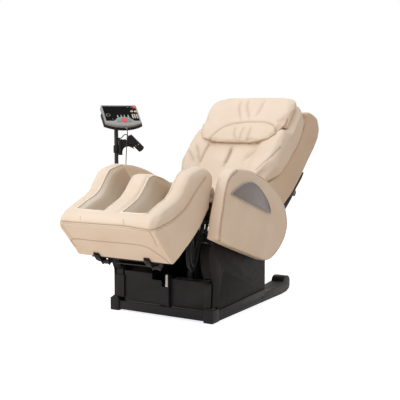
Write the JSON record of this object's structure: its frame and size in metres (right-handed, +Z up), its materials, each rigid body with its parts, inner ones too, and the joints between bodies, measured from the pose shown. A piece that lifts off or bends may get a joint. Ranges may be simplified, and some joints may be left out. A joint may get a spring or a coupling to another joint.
{
  "type": "massage chair",
  "caption": "Home massage chair: tilting seat with armrests, reclining padded back with a travelling massage unit, padded calf and foot rest, and a control panel on a side stand.",
  "frame": {"origin": "on the floor, midway along the floor skids, on the chair's centre plane", "axes": "+X to the sitter's left, +Y to the rear, +Z up"},
  "size_m": [0.8937, 1.7832, 1.1092],
  "materials": {
    "black_plastic": "fine grained",
    "black_steel": "satin powder coat",
    "bright_steel": "drawn",
    "charcoal_plastic": "fine grained",
    "hide": "soft grained",
    "hide_piping": "smooth",
    "hose_black": "smooth",
    "insert_grey": "satin",
    "key_green": "satin",
    "key_orange": "satin",
    "key_red": "satin",
    "key_white": "satin",
    "lining": "soft knit",
    "machine_black": "moulded",
    "panel_silver": "satin metallic",
    "panel_window": "clear gloss",
    "roller_plastic": "moulded",
    "screw_black": "black zinc",
    "shell_grey": "fine grained"
  },
  "bodies": {
    "base": {"floor_frame": "black_steel", "skids": "black_plastic", "front_cover": "black_plastic", "side_panels": "charcoal_plastic", "rear_cover": "black_plastic", "corner_feet": "black_plastic", "power_unit": "machine_black", "air_pump": "machine_black", "cover_screws": "screw_black", "stand_bracket": "black_plastic"},
    "switch": {"power_switch": "black_plastic"},
    "seat": {"seat_frame": "black_steel", "seat_cushion": "hide", "knee_roll": "lining", "left_armrest": "hide", "right_armrest": "hide", "arm_inserts": "insert_grey", "leg_hoses": "hose_black", "leg_actuator": "machine_black", "back_actuator": "machine_black"},
    "tilt_actuator": {"tilt_actuator": "machine_black"},
    "tilt_rod": {"tilt_rod": "bright_steel"},
    "back": {"back_frame": "black_steel", "rear_shell": "shell_grey", "back_cover": "hide", "back_pad": "hide", "head_pillow": "hide", "lift_motor": "machine_black"},
    "back_rod": {"back_rod": "bright_steel"},
    "screw": {"lift_screw": "bright_steel"},
    "carriage": {"massage_carriage": "machine_black"},
    "left_arm": {"left_massage_arm": "machine_black"},
    "right_arm": {"right_massage_arm": "machine_black"},
    "left_upper_roller": {"left_upper_roller": "roller_plastic"},
    "left_lower_roller": {"left_lower_roller": "roller_plastic"},
    "right_upper_roller": {"right_upper_roller": "roller_plastic"},
    "right_lower_roller": {"right_lower_roller": "roller_plastic"},
    "leg_arm": {"leg_swing_frame": "black_steel"},
    "leg_rod": {"leg_rod": "bright_steel"},
    "leg_rest": {"leg_tray": "black_plastic", "leg_cover": "hide", "trough_linings": "lining"},
    "floor_rollers": {"floor_rollers": "hose_black"},
    "stand": {"stand_post": "black_steel", "sensor_holder": "black_plastic", "panel_lead": "hose_black", "sensor_lead": "hose_black"},
    "grip": {"sensor_grip": "black_plastic"},
    "cradle": {"panel_cradle": "black_plastic", "control_panel": "panel_silver", "panel_glass": "panel_window"},
    "power_key": {"power_key": "key_red"},
    "stop_key": {"stop_key": "key_red"},
    "left_green_key": {"left_green_key": "key_green"},
    "right_green_key": {"right_green_key": "key_green"},
    "white_key": {"white_key": "key_white"},
    "orange_key": {"orange_key": "key_orange"},
    "left_rocker_key": {"left_rocker_key": "key_white"},
    "middle_rocker_key": {"middle_rocker_key": "key_white"},
    "right_rocker_key": {"right_rocker_key": "key_white"}
  },
  "joints": [
    {"name": "seat_tilt", "type": "hinge", "parent": "base", "child": "seat", "pos_m": [0, 0.02, 0.235], "axis": [-1, 0, 0], "range_deg": [-8, 3]},
    {"name": "back_recline", "type": "hinge", "parent": "seat", "child": "back", "pos_m": [0, 0.04997, 0.42034], "axis": [-1, 0, 0], "range_deg": [-25, 28]},
    {"name": "leg_swing", "type": "hinge", "parent": "seat", "child": "leg_arm", "pos_m": [0, -0.43991, 0.61017], "axis": [-1, 0, 0], "range_deg": [-34, 20], "deforming": ["leg_hoses"]},
    {"name": "leg_slide", "type": "slide", "parent": "leg_arm", "child": "leg_rest", "axis": [0, -0.7431, -0.6691], "range_m": [0, 0.06]},
    {"name": "floor_rollers_roll", "type": "hinge", "parent": "leg_rest", "child": "floor_rollers", "pos_m": [0, -0.73233, 0.31324], "axis": [1, 0, 0], "continuous": true},
    {"name": "tilt_actuator_swing", "type": "hinge", "parent": "base", "child": "tilt_actuator", "pos_m": [0.06, -0.2, 0.06], "axis": [-1, 0, 0], "range_deg": [-4.8, 1.9]},
    {"name": "tilt_rod_slide", "type": "slide", "parent": "tilt_actuator", "child": "tilt_rod", "axis": [0, -0.0635, 0.998], "range_m": [-0.033, 0.0125]},
    {"name": "leg_rod_slide", "type": "slide", "parent": "seat", "child": "leg_rod", "axis": [0, -0.893, 0.4501], "range_m": [-0.034, 0.0201]},
    {"name": "back_rod_slide", "type": "slide", "parent": "seat", "child": "back_rod", "axis": [0, 0.9644, -0.2644], "range_m": [-0.0281, 0.0251]},
    {"name": "carriage_slide", "type": "slide", "parent": "back", "child": "carriage", "axis": [0, 0.7314, 0.682], "range_m": [-0.13, 0.35]},
    {"name": "screw_spin", "type": "hinge", "parent": "back", "child": "screw", "pos_m": [0, 0.36979, 0.66388], "axis": [0, 0.7314, 0.682], "continuous": true},
    {"name": "left_arm_rock", "type": "hinge", "parent": "carriage", "child": "left_arm", "pos_m": [0.06, 0.29814, 0.63809], "axis": [1, 0, 0], "range_deg": [-12, 12]},
    {"name": "left_upper_roller_spin", "type": "hinge", "parent": "left_arm", "child": "left_upper_roller", "pos_m": [0.06, 0.31611, 0.7068], "axis": [1, 0, 0], "continuous": true},
    {"name": "left_lower_roller_spin", "type": "hinge", "parent": "left_arm", "child": "left_lower_roller", "pos_m": [0.06, 0.22834, 0.62496], "axis": [1, 0, 0], "continuous": true},
    {"name": "right_arm_rock", "type": "hinge", "parent": "carriage", "child": "right_arm", "pos_m": [-0.06, 0.29814, 0.63809], "axis": [1, 0, 0], "range_deg": [-12, 12]},
    {"name": "right_upper_roller_spin", "type": "hinge", "parent": "right_arm", "child": "right_upper_roller", "pos_m": [-0.06, 0.31611, 0.7068], "axis": [1, 0, 0], "continuous": true},
    {"name": "right_lower_roller_spin", "type": "hinge", "parent": "right_arm", "child": "right_lower_roller", "pos_m": [-0.06, 0.22834, 0.62496], "axis": [1, 0, 0], "continuous": true},
    {"name": "power_switch_rock", "type": "hinge", "parent": "base", "child": "switch", "pos_m": [0.144, 0.126, 0.084], "axis": [1, 0, 0], "range_deg": [-6, 6]},
    {"name": "stand_swivel", "type": "hinge", "parent": "base", "child": "stand", "pos_m": [-0.425, -0.232, 0.5], "axis": [0, 0, 1], "range_deg": [-10, 120]},
    {"name": "cradle_tilt", "type": "hinge", "parent": "stand", "child": "cradle", "pos_m": [-0.425, -0.232, 0.956], "axis": [0.6018, 0.7986, 0], "range_deg": [-20, 14], "deforming": ["panel_lead"]},
    {"name": "grip_slide", "type": "slide", "parent": "stand", "child": "grip", "axis": [0.6061, 0.3642, 0.7071], "range_m": [0, 0.02], "deforming": ["sensor_lead"]},
    {"name": "power_key_press", "type": "slide", "parent": "cradle", "child": "power_key", "axis": [-0.5344, 0.4027, -0.7431], "range_m": [0, 0.001], "stiffness_N_per_m": 300, "springref_m": -0.0003},
    {"name": "stop_key_press", "type": "slide", "parent": "cradle", "child": "stop_key", "axis": [-0.5344, 0.4027, -0.7431], "range_m": [0, 0.001], "stiffness_N_per_m": 300, "springref_m": -0.0003},
    {"name": "left_green_key_press", "type": "slide", "parent": "cradle", "child": "left_green_key", "axis": [-0.5344, 0.4027, -0.7431], "range_m": [0, 0.001], "stiffness_N_per_m": 300, "springref_m": -0.0003},
    {"name": "right_green_key_press", "type": "slide", "parent": "cradle", "child": "right_green_key", "axis": [-0.5344, 0.4027, -0.7431], "range_m": [0, 0.001], "stiffness_N_per_m": 300, "springref_m": -0.0003},
    {"name": "white_key_press", "type": "slide", "parent": "cradle", "child": "white_key", "axis": [-0.5344, 0.4027, -0.7431], "range_m": [0, 0.001], "stiffness_N_per_m": 300, "springref_m": -0.0003},
    {"name": "orange_key_press", "type": "slide", "parent": "cradle", "child": "orange_key", "axis": [-0.5344, 0.4027, -0.7431], "range_m": [0, 0.001], "stiffness_N_per_m": 300, "springref_m": -0.0003},
    {"name": "left_rocker_key_press", "type": "slide", "parent": "cradle", "child": "left_rocker_key", "axis": [-0.5344, 0.4027, -0.7431], "range_m": [0, 0.001], "stiffness_N_per_m": 300, "springref_m": -0.0003},
    {"name": "middle_rocker_key_press", "type": "slide", "parent": "cradle", "child": "middle_rocker_key", "axis": [-0.5344, 0.4027, -0.7431], "range_m": [0, 0.001], "stiffness_N_per_m": 300, "springref_m": -0.0003},
    {"name": "right_rocker_key_press", "type": "slide", "parent": "cradle", "child": "right_rocker_key", "axis": [-0.5344, 0.4027, -0.7431], "range_m": [0, 0.001], "stiffness_N_per_m": 300, "springref_m": -0.0003}
  ],
  "couplings": [
    {"joint": "tilt_actuator_swing", "follows": "seat_tilt", "ratio": 0.58952},
    {"joint": "tilt_rod_slide", "follows": "seat_tilt", "m_per_rad": 0.23462},
    {"joint": "leg_rod_slide", "follows": "leg_swing", "m_per_rad": 0.05711},
    {"joint": "back_rod_slide", "follows": "back_recline", "m_per_rad": -0.057334},
    {"joint": "screw_spin", "follows": "carriage_slide", "rad_per_m": 314.16}
  ]
}
